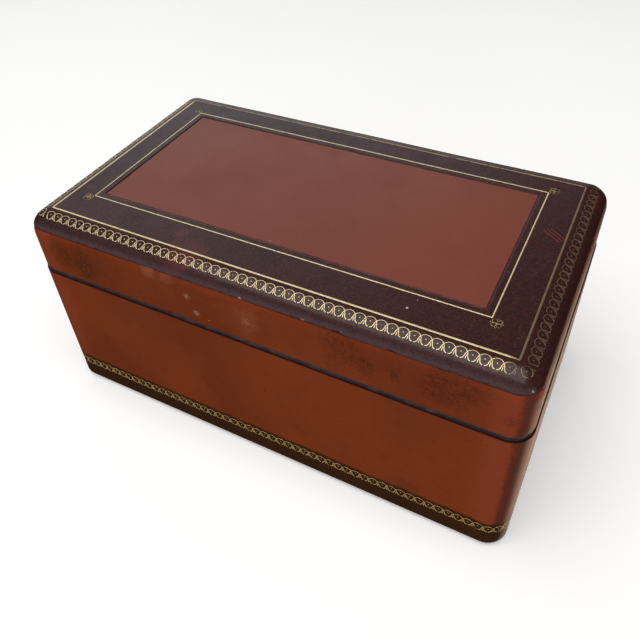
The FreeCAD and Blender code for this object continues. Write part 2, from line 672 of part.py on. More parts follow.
ring_rolls = []
roll_trim = block("roll_trim", ("0", "0"), (TRAY_X, TRAY_Y, "2*ring_roll"), TRAY_BED)
for number in range(RING_ROLLS):
    core = doc.addObject("Part::Cylinder", f"ring_roll_core_{number}")
    core.Placement = Placement(Vector(), Rotation(Vector(1, 0, 0), -90))
    bind(core, "Radius", "ring_roll/2")
    bind(core, "Height", f"{TRAY_IN_Y} - 2*roll_gap")
    put(core, f"{number + 0.5}*ring_roll + {number + 1}*roll_gap - {TRAY_IN_X}/2",
        f"roll_gap - {TRAY_IN_Y}/2", f"{TRAY_BED} + ring_roll/2 - ring_roll_flat")
    ring_rolls.append(shared(f"ring_roll_{number}", [core, roll_trim]))
keep(group("ring_roll_group", ring_rolls), "tray_ring_rolls")

SMALL_BAY_LEFT_X = f"(tray_cross_divider_x - tray_divider/2 - {BAY_START_X})"
SMALL_BAY_RIGHT_X = f"({TRAY_IN_X}/2 - tray_cross_divider_x - tray_divider/2)"
keep(block("back_pad", (f"({BAY_START_X} + {BAY_X}/2)", BACK_BAY_MIDDLE),
           (f"{BAY_X} - 2*roll_gap", f"{BACK_BAY_Y} - 2*roll_gap", "tray_pad"),
           TRAY_BED), "tray_back_pad")
front_pads = [
    block("front_left_pad", (f"({BAY_START_X} + {SMALL_BAY_LEFT_X}/2)", FRONT_BAY_MIDDLE),
          (f"{SMALL_BAY_LEFT_X} - 2*roll_gap", f"{FRONT_BAY_Y} - 2*roll_gap", "tray_pad"),
          TRAY_BED),
    block("front_right_pad", (f"({TRAY_IN_X}/2 - {SMALL_BAY_RIGHT_X}/2)", FRONT_BAY_MIDDLE),
          (f"{SMALL_BAY_RIGHT_X} - 2*roll_gap", f"{FRONT_BAY_Y} - 2*roll_gap", "tray_pad"),
          TRAY_BED),
]
keep(group("front_pads", front_pads), "tray_front_pads")

for side, sign in SIDES.items():
    name = f"tray_{side}_pull"
    x = f"{sign}*({TRAY_IN_X} - pull_thickness)/2"
    stem = block(f"{name}_stem", (x, "0"),
                 ("pull_thickness", "pull_width", "pull_straight"), "pull_foot")
    tip = rod(f"{name}_tip", "pull_width/2", "pull_thickness", x, "0",
              "pull_foot + pull_straight")
    keep(joined(f"{name}_whole", [stem, tip]), name)

# --------------------------------------------------------------------------
# The lid's padding
# --------------------------------------------------------------------------

cushion = prism("cushion_pad", f"{LID_IN_X} - 2*lining - 2*cushion_gap",
                f"{LID_IN_Y} - 2*lining - 2*cushion_gap", "2*cushion_edge",
                f"({TOP_BOARD_FOOT} - cushion_thickness)", TOP_BOARD_FOOT)
round_edge(cushion, 0, "cushion_edge")
keep(cushion, "lid_cushion")

# --------------------------------------------------------------------------
# Checks and STEP files
# --------------------------------------------------------------------------

doc.recompute()
for thing in doc.Objects:
    if "Invalid" in thing.State or "Error" in thing.State:
        raise RuntimeError(f"{thing.Name} failed: {thing.State}")

SCREWS_PER_HINGE_LEAF = 3
SCREWS_PER_PLATE = 2
SCREW_COUNT = len(SIDES)*(SCREWS_PER_HINGE_LEAF + SCREWS_PER_PLATE)
EXPECTED_SOLIDS = {
    "base_screws": SCREW_COUNT,
    "lid_screws": SCREW_COUNT,
    "tray_ring_rolls": RING_ROLLS,
    "tray_front_pads": 2,
}
for name, thing in NODES.items():
    shape = thing.Shape
    if shape.isNull() or not shape.isValid():
        raise RuntimeError(f"{name} has no valid shape")
    if len(shape.Solids) != EXPECTED_SOLIDS.get(name, 1):
        raise RuntimeError(f"{name} holds {len(shape.Solids)} solids")

os.makedirs("parts", exist_ok=True)
for name, thing in NODES.items():
    thing.Shape.exportStep(f"parts/{name}.step")
print(f"{len(NODES)} sub-parts")
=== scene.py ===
"""The looks of a gilt-tooled leather jewellery case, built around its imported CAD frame.

Lengths are in metres, in the frame's own axes: +X along the case, +Y to the back, +Z up.
"""

import math
import random

import bmesh
import bpy
from mathutils import Euler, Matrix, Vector, noise


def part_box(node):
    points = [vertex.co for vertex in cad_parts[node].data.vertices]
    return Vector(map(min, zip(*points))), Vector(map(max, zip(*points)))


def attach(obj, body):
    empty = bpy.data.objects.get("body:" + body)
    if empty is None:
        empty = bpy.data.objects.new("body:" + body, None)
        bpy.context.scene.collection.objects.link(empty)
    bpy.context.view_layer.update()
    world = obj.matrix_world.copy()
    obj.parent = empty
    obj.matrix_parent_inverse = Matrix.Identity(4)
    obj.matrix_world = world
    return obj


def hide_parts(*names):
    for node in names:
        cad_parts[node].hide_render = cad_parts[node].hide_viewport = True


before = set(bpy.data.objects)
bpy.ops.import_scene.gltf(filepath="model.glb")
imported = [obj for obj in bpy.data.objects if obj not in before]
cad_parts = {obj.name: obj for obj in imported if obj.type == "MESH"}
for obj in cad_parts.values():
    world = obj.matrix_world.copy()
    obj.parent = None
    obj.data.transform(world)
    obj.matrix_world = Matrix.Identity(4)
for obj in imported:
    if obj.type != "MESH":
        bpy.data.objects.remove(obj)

MM = 0.001
UP = Vector((0, 0, 1))
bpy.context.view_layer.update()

# Outward direction and walking direction of the front, right, back and left.
SIDES = (
    (Vector((0, -1, 0)), Vector((1, 0, 0))),
    (Vector((1, 0, 0)), Vector((0, 1, 0))),
    (Vector((0, 1, 0)), Vector((-1, 0, 0))),
    (Vector((-1, 0, 0)), Vector((0, -1, 0))),
)


# ------------------------ outlines and surfaces

class Outline:
    """A rounded rectangle seen from above, walked anticlockwise from its front left corner."""

    TIGHTEST = 0.15 * MM

    def __init__(self, low, high, corner):
        self.centre = Vector(((low.x + high.x) / 2, (low.y + high.y) / 2, 0))
        self.half = Vector(((high.x - low.x) / 2, (high.y - low.y) / 2, 0))
        self.corner = corner

    def reach(self, side, inset):
        """Depth of the side's corner centres, half its straight stretch, and the corner radius."""
        out, along = SIDES[side]
        radius = max(self.corner - inset, self.TIGHTEST)
        depth = abs(self.half.dot(out)) - inset - radius
        run = abs(self.half.dot(along)) - inset - radius
        return depth, run, radius

    def at(self, station, inset):
        """The point and the outward direction at a station (side, share of its run, turn)."""
        side, share, turn = station
        out, along = SIDES[side]
        depth, run, radius = self.reach(side, inset)
        facing = out * math.cos(turn) + along * math.sin(turn)
        return self.centre + out * depth + along * (run * share) + facing * radius, facing

    def stations(self, step, turns):
        """Places all round: about one a step along the sides, and so many in each corner."""
        found = []
        for side in range(4):
            count = max(2, round(2 * self.reach(side, 0)[1] / step))
            found += [(side, 2 * i / count - 1, 0.0) for i in range(count + 1)]
            found += [(side, 1.0, math.pi / 2 * i / turns) for i in range(1, turns)]
        return found


def ripple(point):
    """The leather's slight unevenness over its boards."""
    return noise.noise(point * 21) * 0.12 * MM + noise.noise(point * 85) * 0.035 * MM


LID_LOW, LID_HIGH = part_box("lid_side_leather")
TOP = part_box("lid_border_leather")[1].z
BORDER_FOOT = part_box("lid_border_leather")[0].z
LID = Outline(LID_LOW, LID_HIGH, corner=10 * MM)
# The shoulder is a quarter round; a distance called run is walked down it from its start.
SHOULDER = 11.4 * MM
QUARTER = SHOULDER * math.pi / 2
BORDER_RUN = SHOULDER * math.acos(1 - (TOP - BORDER_FOOT) / SHOULDER)

BASE_LOW, BASE_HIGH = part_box("base_side_leather")
BASE = Outline(BASE_LOW, BASE_HIGH, corner=10.5 * MM)
FOOT = 4 * MM
LEATHER = 1.1 * MM

PANEL_LOW, PANEL_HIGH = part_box("lid_centre_panel")
PANEL = Outline(PANEL_LOW, PANEL_HIGH, corner=0.6 * MM)


def level(point, height):
    """The point moved straight up or down to a height."""
    return Vector((point.x, point.y, height))


def lid_spot(station, run, proud=0.0):
    """The point and normal on the lid at a distance past the start of its shoulder."""
    bend = min(max(run, 0), QUARTER) / SHOULDER
    inset = SHOULDER * (1 - math.sin(bend)) + max(-run, 0)
    point, facing = LID.at(station, inset)
    point.z = TOP - SHOULDER * (1 - math.cos(bend)) - max(run - QUARTER, 0)
    normal = facing * math.sin(bend) + UP * math.cos(bend)
    return point + normal * (proud + ripple(point)), normal


def lid_mark(side, along, run):
    """As lid_spot, for a distance along a straight side from its middle."""
    inset = SHOULDER * (1 - math.sin(max(run, 0) / SHOULDER)) + max(-run, 0)
    return lid_spot((side, along / LID.reach(side, inset)[1], 0), run)


def top_spot(x, y):
    """The point and normal on the lid's flat top."""
    point = Vector((x, y, TOP))
    return point + UP * ripple(point), UP


def base_spot(station, height, proud=0.0):
    """The point and normal on the base at a height above the table."""
    drop = max(FOOT + BASE_LOW.z - height, 0) / FOOT
    bend = math.asin(min(drop, 1))
    point, facing = BASE.at(station, FOOT * (1 - math.cos(bend)))
    point.z = height
    normal = facing * math.cos(bend) - UP * math.sin(bend)
    return point + normal * (proud + ripple(point)), normal


# ------------------------ mesh helpers

def piece_from(name, points, faces, material, sharp=35):
    """A new object with outward normals, smooth except where it turns sharply."""
    mesh = bpy.data.meshes.new(name)
    mesh.from_pydata(points, [], faces)
    shape = bmesh.new()
    shape.from_mesh(mesh)
    return piece_of(name, shape, material, sharp, mesh)


def piece_of(name, shape, material, sharp=35, mesh=None):
    """A new object from a bmesh, which is used up."""
    mesh = mesh or bpy.data.meshes.new(name)
    bmesh.ops.recalc_face_normals(shape, faces=shape.faces)
    shape.to_mesh(mesh)
    shape.free()
    mesh.shade_smooth()
    mesh.set_sharp_from_angle(angle=math.radians(sharp))
    piece = bpy.data.objects.new(name, mesh)
    bpy.context.scene.collection.objects.link(piece)
    piece.data.materials.append(material)
    return piece


def band(name, rings, material, sharp=35):
    """A closed tube all round the case: every ring of points is joined to the next."""
    size = len(rings[0])
    points = [point for ring in rings for point in ring]
    faces = []
    for i in range(len(rings)):
        here, there = i * size, (i + 1) % len(rings) * size
        for a in range(size):
            b = (a + 1) % size
            faces.append((here + a, there + a, there + b, here + b))
    return piece_from(name, points, faces, material, sharp)


def belongs(piece, body, slot=None, *nodes):
    """Says which body the piece rides on and which nodes it stands for; the slot, what it is
    finished in, is not used.
    """
    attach(piece, body)
    if nodes:
        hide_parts(*nodes)
    return piece


def steps(start, end, count):
    """Evenly spaced numbers from start to end, both included."""
    return [start + (end - start) * i / (count - 1) for i in range(count)]


def rounded_box(low, high, rounding, cell, uneven=0.0):
    """A box with rounded edges, cut into cells and slightly uneven, as a bmesh."""
    shape = bmesh.new()
    bmesh.ops.create_cube(shape, size=1)
    size = high - low
    for vertex in shape.verts:
        vertex.co = Vector(low[i] + size[i] * (vertex.co[i] + 0.5) for i in range(3))
    bmesh.ops.bevel(shape, geom=shape.edges[:], offset=rounding, segments=3, affect="EDGES")
    for axis in range(3):
        normal = Vector((axis == 0, axis == 1, axis == 2))
        cuts = int(size[axis] / cell)
        for i in range(1, cuts + 1):
            where = low + size * (i / (cuts + 1))
            everything = shape.verts[:] + shape.edges[:] + shape.faces[:]
            bmesh.ops.bisect_plane(shape, geom=everything, plane_co=where, plane_no=normal)
    shape.normal_update()
    for vertex in shape.verts:
        vertex.co += vertex.normal * noise.noise(vertex.co * 60) * uneven
    return shape


# ------------------------ materials

def ink(red, green, blue):
    """A colour from its usual 0-255 values, as the shaders want it."""
    def linear(value):
        share = value / 255
        return share / 12.92 if share <= 0.04045 else ((share + 0.055) / 1.055) ** 2.4
    return (linear(red), linear(green), linear(blue), 1.0)


class Nodes:
    """A node tree, and short calls that add nodes to it."""

    def __init__(self, tree, coordinates):
        self.tree = tree
        self.place = self.node("TexCoord").outputs[coordinates]
        split = self.node("SeparateXYZ", {"Vector": self.place})
        self.x, self.y, self.z = split.outputs

    def node(self, kind, inputs=None, **settings):
        made = self.tree.nodes.new("ShaderNode" + kind)
        for key, value in settings.items():
            setattr(made, key, value)
        for key, value in (inputs or {}).items():
            self.feed(made.inputs[key], value)
        return made

    def feed(self, socket, value):
        if isinstance(value, bpy.types.NodeSocket):
            self.tree.links.new(value, socket)
        else:
            socket.default_value = value

    def stretched(self, x, y, z):
        """The place, with each axis drawn out or squeezed."""
        inputs = {"Vector": self.place, "Scale": (x, y, z)}
        return self.node("Mapping", inputs).outputs["Vector"]

    def noise(self, size, detail=3.0, rough=0.55, place=None, warp=0.0):
        inputs = {"Vector": place or self.place, "Scale": 1 / size, "Detail": detail,
                  "Roughness": rough, "Distortion": warp}
        return self.node("TexNoise", inputs).outputs["Fac"]

    def rise(self, value, low, high):
        """0 below low and 1 above high, smoothly; the other way round if low is above high."""
        inputs = {"Value": value, "From Min": low, "From Max": high}
        made = self.node("MapRange", inputs, interpolation_type="SMOOTHSTEP")
        return made.outputs["Result"]

    def calc(self, operation, first, second=0.0):
        return self.node("Math", {0: first, 1: second}, operation=operation).outputs[0]

    def times(self, *values):
        total = values[0]
        for value in values[1:]:
            total = self.calc("MULTIPLY", total, value)
        return total

    def tint(self, share, first, second):
        """From the first colour to the second."""
        made = self.node("Mix", {0: share, 6: first, 7: second}, data_type="RGBA")
        return made.outputs[2]

    def patches(self, size, low, high, **texture):
        """Patches of noise: 0 where it is below low and 1 where it is above high."""
        return self.rise(self.noise(size, **texture), low, high)

    def specks(self, size, radius, share):
        """Small round spots, in that share of the cells."""
        inputs = {"Vector": self.place, "Scale": 1 / size}
        cells = self.node("TexVoronoi", inputs)
        spot = self.rise(cells.outputs["Distance"], radius, radius * 0.5)
        chance = self.node("SeparateColor", {"Color": cells.outputs["Color"]}).outputs[0]
        return self.times(spot, self.rise(chance, 1 - share, 1.001 - share))

    def around(self, centre, radius, ragged=0.0):
        """1 near a point, fading out at the radius, with an edge as ragged as asked."""
        gap = self.node("VectorMath", {0: self.place, 1: centre}, operation="DISTANCE")
        gap = gap.outputs["Value"]
        if ragged:
            wander = self.calc("SUBTRACT", self.noise(radius * 0.5, detail=5), 0.5)
            gap = self.calc("ADD", gap, self.times(wander, ragged * radius))
        return self.rise(gap, radius, radius * 0.35)

    def streak(self, start, end, width):
        """1 along a line between two points, fading out at the width on either side."""
        step = end - start
        offset = self.node("VectorMath", {0: self.place, 1: start}, operation="SUBTRACT").outputs[0]
        inputs = {0: offset, 1: step / step.length_squared}
        share = self.node("VectorMath", inputs, operation="DOT_PRODUCT").outputs["Value"]
        share = self.calc("MINIMUM", self.calc("MAXIMUM", share, 0.0), 1.0)
        near = self.node("VectorMath", {0: step, "Scale": share}, operation="SCALE").outputs[0]
        gap = self.node("VectorMath", {0: offset, 1: near}, operation="DISTANCE").outputs["Value"]
        return self.rise(gap, width, width * 0.4)

    def bump(self, height, depth, under=None):
        inputs = {"Height": height, "Distance": depth, "Strength": 1.0}
        if under:
            inputs["Normal"] = under
        return self.node("Bump", inputs).outputs["Normal"]

    def grain(self, pore, depth):
        """Fine leather grain over soft creases."""
        pores = self.node("TexVoronoi", {"Vector": self.place, "Scale": 1 / pore})
        creases = self.noise(pore * 7, detail=5, rough=0.6)
        soft = self.bump(creases, depth * 5)
        return self.bump(pores.outputs["Distance"], depth, soft)

    def centre_distance(self, outline):
        """How far the place is from the outline's centre, along X and along Y."""
        across = self.calc("ABSOLUTE", self.calc("SUBTRACT", self.x, outline.centre.x))
        back = self.calc("ABSOLUTE", self.calc("SUBTRACT", self.y, outline.centre.y))
        return across, back


class Shader(Nodes):
    """A material with one Principled shader, whose colour is built up in layers."""

    def __init__(self, name, **constants):
        self.material = bpy.data.materials.new(name)
        self.material.use_nodes = True
        super().__init__(self.material.node_tree, "Object")
        self.surface = self.tree.nodes["Principled BSDF"]
        for key, value in constants.items():
            self.surface.inputs[key.replace("_", " ")].default_value = value
        self.colour = None

    def lay(self, shade, *shares):
        """Lays a shade (0-255 values) over the colour, as strong as the shares' product."""
        self.colour = self.tint(self.times(*shares), self.colour, ink(*shade))

    def lay_marks(self, marks, *shares):
        for centre, radius, ragged, strength, shade in marks:
            mark = self.around(Vector(centre) * MM, radius * MM, ragged)
            self.lay(shade, mark, *shares, strength)

    def finish(self, **sockets):
        self.feed(self.surface.inputs["Base Color"], self.colour)
        for key, value in sockets.items():
            self.feed(self.surface.inputs[key.replace("_", " ")], value)
        return self.material


# Marks seen in the photo, picked and projected onto the case: place and radius in
# millimetres, raggedness, strength and colour. First those on the cognac sides.
COGNAC_MARKS = (
    ((-92, -74, 95), 13, 1.2, 0.7, (50, 34, 12)),
    ((-106, -74, 98), 11, 1.0, 0.5, (56, 36, 10)),
    ((-50, -74, 108), 6, 1.0, 0.3, (158, 110, 84)),
    ((-40, -74, 108), 6, 1.0, 0.24, (158, 110, 84)),
    ((-29.5, -74, 100), 2.4, 1.9, 0.42, (186, 136, 112)),
    ((-25.7, -74, 91), 2.4, 1.9, 0.5, (190, 140, 120)),
    ((2, -74, 97), 10, 1.4, 0.25, (160, 96, 66)),
    ((2, -74, 97), 3, 1.9, 0.3, (180, 124, 104)),
    ((-19.2, -74, 88.9), 0.5, 0.2, 1.0, (226, 176, 70)),
    ((47, -74, 101), 14, 1.9, 0.42, (54, 22, 8)),
    ((58, -74, 96), 8, 1.9, 0.42, (46, 18, 8)),
    ((71, -74, 97), 5, 1.9, 0.42, (46, 18, 8)),
    ((92, -74, 100), 14, 1.9, 0.4, (54, 22, 10)),
    ((104, -74, 103), 7, 1.9, 0.35, (50, 20, 10)),
    ((118, -74, 94), 4, 1.9, 0.35, (46, 20, 12)),
    ((-23, -75, 58), 1.2, 0.6, 0.6, (60, 26, 10)),
    ((7, -75, 54), 1.5, 0.9, 0.6, (60, 26, 10)),
)

# Those on the dark border, and the start and length of its scratches, in millimetres too.
BORDER_MARKS = (
    ((-34, -64, 115), 13, 1.6, 0.3, (110, 46, 40)),
    ((-44, -53, 116), 5, 1.2, 0.3, (110, 46, 40)),
    ((-0.5, -73.6, 109.8), 1.2, 0.8, 0.5, (196, 168, 158)),
    ((30, -73.6, 109.8), 1.3, 0.8, 0.6, (176, 106, 86)),
    ((47, -73.6, 109.8), 1.4, 0.9, 0.5, (170, 120, 108)),
    ((68, -55, 116.4), 0.7, 0.2, 0.9, (206, 196, 196)),
)
SCRATCHES = 3
SCRATCH_START = (104.6, 17.0, 116.4)
SCRATCH_LENGTH = (7.8, -5.9, 0)


def cognac_leather():
    """The polished brown sides, with a stained foot, dark worn corners, the marks, and painted
    highlight and shade.
    """
    skin = Shader("cognac_leather", Specular_IOR_Level=0.14, Coat_Weight=0.07, Coat_Roughness=0.25)
    drift = skin.patches(75 * MM, 0.35, 0.65, warp=0.4)
    skin.colour = skin.tint(drift, ink(117, 45, 4), ink(130, 52, 6))
    cloud = skin.patches(16 * MM, 0.5, 0.78, detail=6, rough=0.68)
    skin.lay((86, 33, 8), cloud, 0.3)
    fine = skin.noise(1.1 * MM, detail=4, rough=0.7)
    skin.lay((92, 36, 12), skin.rise(fine, 0.42, 0.7), 0.3)

    across, back = skin.centre_distance(LID)
    # Painted highlight: the sides are lightened where they round the upright corners.
    near_end = skin.rise(across, LID.half.x - 21 * MM, LID.half.x - 11 * MM)
    near_side = skin.rise(back, LID.half.y - 21 * MM, LID.half.y - 11 * MM)
    skin.lay((142, 58, 30), near_end, near_side, 0.5)
    fray = skin.calc("SUBTRACT", skin.noise(2.4 * MM, detail=6, rough=0.75), 0.5)
    fray = skin.times(fray, 9 * MM)
    worn_end = skin.calc("ADD", across, fray)
    worn_end = skin.rise(worn_end, LID.half.x - 6.8 * MM, LID.half.x - 4 * MM)
    worn_side = skin.calc("ADD", back, fray)
    worn_side = skin.rise(worn_side, LID.half.y - 6.8 * MM, LID.half.y - 4 * MM)
    patina = skin.times(worn_end, worn_side)
    skin.lay((62, 37, 27), patina, 0.7)

    # Painted shadow: the sides are darkened just under the border's overlapping edge.
    shadow_under_border = skin.rise(skin.z, BORDER_FOOT - 1.0 * MM, BORDER_FOOT - 0.3 * MM)
    skin.lay((26, 8, 5), shadow_under_border, 0.85)
    # Painted shade: the sides are darkened along the groove of the seam between lid and base.
    seam = (LID_LOW.z + BASE_HIGH.z) / 2
    gap = LID_LOW.z - seam
    from_seam = skin.calc("ABSOLUTE", skin.calc("SUBTRACT", skin.z, seam))
    seam_shadow = skin.rise(from_seam, gap + 0.25 * MM, gap + 0.05 * MM)
    skin.lay((22, 9, 8), seam_shadow, 0.9)
    height = skin.calc("ADD", skin.z, skin.times(skin.noise(9 * MM, detail=5), 3.2 * MM))
    stain = skin.rise(height, 22.4 * MM, 20.4 * MM)
    skin.lay((50, 30, 10), stain, 0.9)

    skin.lay_marks(COGNAC_MARKS, skin.rise(fine, 0.36, 0.58))
    sparse = skin.patches(60 * MM, 0.5, 0.62)
    pits = skin.times(skin.specks(7 * MM, 0.09, 0.3), sparse)
    skin.lay((40, 16, 10), pits, 0.6)
    roughness = skin.calc("ADD", skin.times(cloud, 0.12), 0.42)
    roughness = skin.calc("SUBTRACT", roughness, skin.times(patina, 0.14))
    return skin.finish(Roughness=roughness, Normal=skin.grain(0.8 * MM, 0.012 * MM))


def border_leather():
    """The dark red-brown border, speckled all over with worn grain, greyed by a painted sheen on
    its left and a painted reflection on its front.
    """
    skin = Shader("border_leather", Specular_IOR_Level=0.2, Coat_Weight=0.3, Coat_Roughness=0.12)
    # Painted sheen: the border is greyer towards the left and redder towards the right.
    along = skin.rise(skin.x, -0.12, 0.1)
    skin.colour = skin.tint(along, ink(40, 17, 18), ink(48, 14, 11))
    front = skin.rise(skin.y, -0.02, -0.06)
    skin.lay((54, 20, 16), front, 0.6)
    mottle = skin.patches(14 * MM, 0.42, 0.72, detail=6, rough=0.66, warp=0.5)
    skin.lay((30, 13, 14), mottle, 0.55)
    # Painted reflection: a pale grey-purple laid on the front of the shoulder, a little below the
    # top.
    fall = skin.rise(skin.z, TOP - 3.5 * MM, TOP - 6 * MM)
    front_reflection = skin.times(fall, skin.rise(skin.y, -0.068, -0.071))
    skin.lay((80, 66, 72), front_reflection, 0.6)
    rust = skin.patches(0.8 * MM, 0.5, 0.66, detail=3, rough=0.75)
    skin.lay((104, 48, 38), rust, 0.5)
    grime = skin.patches(1.4 * MM, 0.5, 0.68, detail=4, rough=0.7)
    skin.lay((22, 9, 11), grime, 0.6)

    skin.lay_marks(BORDER_MARKS)
    x, y, z = SCRATCH_START
    for i in range(SCRATCHES):
        start = Vector((x + 1.5 * i, y + 1.0 * i, z)) * MM
        scratch = skin.streak(start, start + Vector(SCRATCH_LENGTH) * MM, 0.4 * MM)
        skin.lay((128, 54, 44), scratch, 0.6)
    skin.lay((190, 170, 160), skin.specks(9 * MM, 0.035, 0.25), 0.8)
    roughness = skin.calc("ADD", skin.times(mottle, 0.14), 0.4)
    return skin.finish(Roughness=roughness, Normal=skin.grain(0.7 * MM, 0.028 * MM))


def panel_leather():
    """The smooth red-brown inlay, with fine cracks, a few specks, a dark wavy edge and a painted
    sheen on its left.
    """
    skin = Shader("panel_leather", Specular_IOR_Level=0.3, Coat_Weight=0.06, Coat_Roughness=0.3)
    # Painted sheen: the inlay is greyer towards the left and redder towards the right.
    along = skin.rise(skin.x, -0.1, 0.1)
    skin.colour = skin.tint(along, ink(117, 60, 46), ink(122, 58, 40))
    drift = skin.patches(34 * MM, 0.35, 0.7, detail=5, warp=0.6)
    skin.lay((104, 48, 34), drift, 0.3)
    dust = skin.patches(1.0 * MM, 0.45, 0.7, detail=3, rough=0.7)
    skin.lay((142, 78, 58), dust, 0.2)
    cracks = skin.patches(1.8 * MM, 0.6, 0.7, detail=6, rough=0.8, warp=1.0)
    skin.lay((84, 34, 24), cracks, 0.25)
    skin.lay((60, 26, 24), skin.specks(19 * MM, 0.05, 0.45), 0.6)
    skin.lay((205, 170, 150), skin.specks(15 * MM, 0.03, 0.5), 0.8)
    across, back = skin.centre_distance(PANEL)
    wander = skin.times(skin.noise(3 * MM, detail=4), 0.9 * MM)
    end = skin.rise(skin.calc("ADD", across, wander), PANEL.half.x, PANEL.half.x + 0.5 * MM)
    side = skin.rise(skin.calc("ADD", back, wander), PANEL.half.y, PANEL.half.y + 0.5 * MM)
    skin.lay((48, 24, 22), skin.calc("MAXIMUM", end, side), 0.8)
    roughness = skin.calc("ADD", skin.times(drift, 0.1), 0.42)
    return skin.finish(Roughness=roughness, Normal=skin.grain(0.6 * MM, 0.008 * MM))


def dark_leather(name, colour, worn, roughness=0.38):
    """Plain dark leather for rims and tabs, worn paler in places."""
    skin = Shader(name, Specular_IOR_Level=0.5, Coat_Weight=0.25, Coat_Roughness=0.2)
    rub = skin.patches(6 * MM, 0.48, 0.75, detail=6, rough=0.7)
    skin.colour = ink(*colour)
    skin.lay(worn, rub, 0.6)
    dust = skin.patches(0.9 * MM, 0.5, 0.75, detail=3, rough=0.7)
    skin.lay((24, 14, 16), dust, 0.3)
    gloss = skin.calc("ADD", skin.times(rub, 0.15), roughness)
    return skin.finish(Roughness=gloss, Normal=skin.grain(0.7 * MM, 0.012 * MM))


def gilding(name, bright, leather, wear, side_shade=0.85):
    """Gold leaf pressed into leather, worn through in places, with painted shade on the right and
    the back.
    """
    leaf = Shader(name)
    patch = leaf.noise(5 * MM, detail=6, rough=0.72)
    fine = leaf.noise(0.6 * MM, detail=2, rough=0.6)
    both = leaf.calc("ADD", leaf.times(patch, 0.62), leaf.times(fine, 0.38))
    # Painted shade: on the right and the back the gold is browned and more of it is worn through,
    # to look darker.
    right = leaf.rise(leaf.x, LID.half.x - 17 * MM, LID.half.x - 12 * MM)
    back = leaf.rise(leaf.y, LID.half.y - 17 * MM, LID.half.y - 12 * MM)
    shaded_right_and_back = leaf.calc("MAXIMUM", right, back)
    both = leaf.calc("SUBTRACT", both, leaf.times(leaf.calc("ADD", shaded_right_and_back, back), 0.04))
    kept = leaf.rise(both, wear, wear + 0.07)
    leaf.colour = leaf.tint(leaf.noise(2 * MM), ink(*bright), ink(214, 176, 104))
    leaf.lay((92, 68, 44), shaded_right_and_back, side_shade)
    leaf.colour = leaf.tint(kept, ink(*leather), leaf.colour)
    roughness = leaf.calc("ADD", leaf.times(fine, 0.25), 0.25)
    return leaf.finish(Metallic=leaf.times(kept, 0.38), Roughness=roughness)


def velvet(name, deep, bright, nap=16):
    """Short pile, brushed lighter and darker in soft patches."""
    pile = Shader(name, Roughness=0.95, Specular_IOR_Level=0.1, Sheen_Weight=0.55,
                  Sheen_Roughness=0.38, Sheen_Tint=ink(*bright))
    brushed = pile.patches(nap * MM, 0.35, 0.68, detail=4, rough=0.55, warp=0.5)
    threads = pile.noise(0.5 * MM, detail=2, rough=0.8)
    share = pile.calc("ADD", pile.times(brushed, 0.7), pile.times(threads, 0.3))
    pile.colour = pile.tint(share, ink(*deep), ink(*bright))
    return pile.finish(Normal=pile.bump(threads, 0.08 * MM))


def felt():
    """Matted baize under the base."""
    cloth = Shader("baize", Roughness=0.98, Specular_IOR_Level=0.1, Sheen_Weight=0.3)
    hairs = cloth.noise(0.7 * MM, detail=5, rough=0.8, warp=1.5)
    cloth.colour = cloth.tint(hairs, ink(20, 34, 24), ink(48, 72, 50))
    cloth.lay((40, 44, 30), cloth.patches(24 * MM, 0.4, 0.7, detail=4), 0.35)
    return cloth.finish(Normal=cloth.bump(hairs, 0.1 * MM))


def cedar():
    """The boards of the carcass."""
    timber = Shader("cedar", Specular_IOR_Level=0.35)
    drawn_out = timber.stretched(0.06, 1, 1)
    lines = timber.noise(3 * MM, detail=5, rough=0.65, place=drawn_out, warp=0.3)
    broad = timber.noise(18 * MM, detail=3, place=timber.stretched(0.15, 1, 1))
    timber.colour = timber.tint(lines, ink(112, 66, 38), ink(168, 112, 70))
    timber.lay((96, 52, 30), broad, 0.4)
    roughness = timber.calc("ADD", timber.times(lines, 0.2), 0.5)
    return timber.finish(Roughness=roughness, Normal=timber.bump(lines, 0.05 * MM))


def aged_brass():
    """Brass, tarnished in patches and finely scratched."""
    metal = Shader("aged_brass", Metallic=1.0)
    tarnish = metal.patches(4 * MM, 0.42, 0.75, detail=6, rough=0.7)
    scratch = metal.noise(0.5 * MM, detail=2, place=metal.stretched(1, 0.08, 1))
    metal.colour = metal.tint(tarnish, ink(214, 176, 104), ink(120, 88, 50))
    roughness = metal.calc("ADD", metal.times(tarnish, 0.22), metal.times(scratch, 0.3))
    return metal.finish(Roughness=roughness, Normal=metal.bump(scratch, 0.006 * MM))


COGNAC = cognac_leather()
BORDER = border_leather()
INLAY = panel_leather()
RIM = dark_leather("rim_leather", (50, 36, 42), (98, 78, 86))
TAB = dark_leather("tab_leather", (66, 30, 20), (110, 60, 40))
# The lid's gold leaf is laid nearly white: its own colour, partly a painted highlight.
GOLD = gilding("gold_leaf", (255, 248, 208), (46, 24, 22), wear=0.35)
DIM_GOLD = gilding("dim_gold_leaf", (150, 134, 96), (40, 22, 20), wear=0.46)
FOOT_GOLD = gilding("foot_gold_leaf", (255, 222, 140), (48, 30, 16), wear=0.35, side_shade=0.0)
VELVET = velvet("wine_velvet", (62, 9, 17), (116, 22, 34))
CUSHION = velvet("cushion_velvet", (68, 10, 19), (126, 27, 40), nap=26)
BAIZE = felt()
CEDAR = cedar()
BRASS = aged_brass()


# ------------------------ leather over the boards

def border_edge(station):
    """How far down the shoulder the border reaches: an uneven cut with a few small chips."""
    point = lid_spot(station, BORDER_RUN)[0]
    wander = noise.noise(point * 35) * 0.22 * MM + noise.noise(point * 260) * 0.1 * MM
    chip = max(noise.noise(point * 150 + Vector((7, 3, 1))) - 0.42, 0) * 4.5 * MM
    return BORDER_RUN + 0.5 * MM + wander - min(chip, 0.9 * MM)


